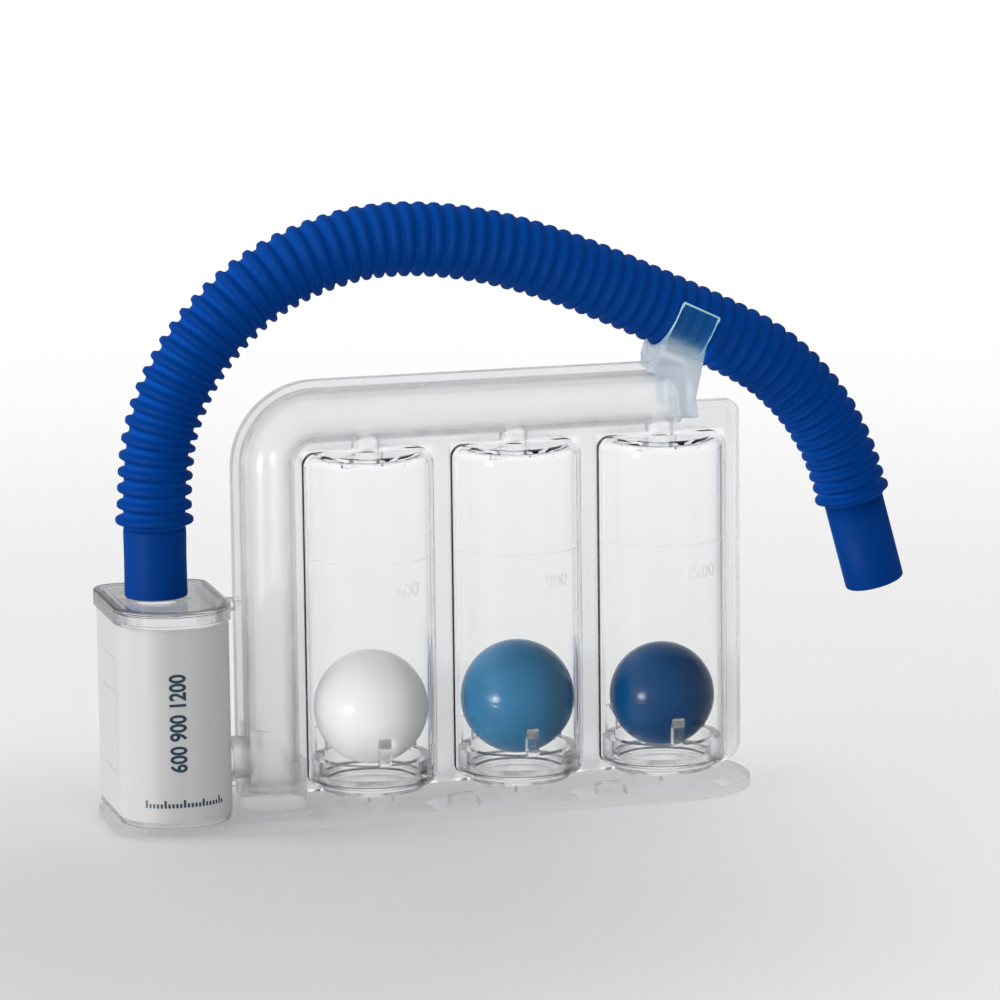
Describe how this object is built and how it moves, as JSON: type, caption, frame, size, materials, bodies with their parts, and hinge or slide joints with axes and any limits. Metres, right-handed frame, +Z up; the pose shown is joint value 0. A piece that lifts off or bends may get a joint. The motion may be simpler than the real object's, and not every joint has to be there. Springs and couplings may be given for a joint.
{
  "type": "incentive spirometer",
  "caption": "Free-standing breathing exerciser with balls that rise in clear columns, an air duct, a filter box and a corrugated hose with a mouthpiece.",
  "frame": {"origin": "middle of the base's underside, below the middle of the part's length and depth", "axes": "+X along the base from the filter box to the right-hand column, +Y away from the user, +Z up"},
  "size_m": [0.2179, 0.045, 0.1591],
  "materials": {
    "clear": "clear moulded polystyrene",
    "frosted": "frosted moulded plastic",
    "white_ball": "glossy",
    "blue_ball": "glossy",
    "navy_ball": "glossy",
    "label": "satin film",
    "foam": "open foam",
    "hose": "satin polyethylene"
  },
  "bodies": {
    "housing": {"front_shell": "clear", "rear_shell": "clear", "base_plate": "clear", "ball_seat_left": "clear", "ball_seat_middle": "clear", "ball_seat_right": "clear", "filter_box": "clear", "box_label": "label", "box_lid": "clear", "filter_pad": "foam", "hose_clip": "frosted", "hose": "hose", "hose_cuff": "hose", "mouthpiece": "hose"},
    "ball_left": {"ball_left": "white_ball"},
    "ball_middle": {"ball_middle": "blue_ball"},
    "ball_right": {"ball_right": "navy_ball"}
  },
  "joints": [
    {"name": "ball_left_rise", "type": "slide", "parent": "housing", "child": "ball_left", "axis": [0, 0, 1], "range_m": [0, 0.0504]},
    {"name": "ball_middle_rise", "type": "slide", "parent": "housing", "child": "ball_middle", "axis": [0, 0, 1], "range_m": [0, 0.0504]},
    {"name": "ball_right_rise", "type": "slide", "parent": "housing", "child": "ball_right", "axis": [0, 0, 1], "range_m": [0, 0.0537]}
  ]
}
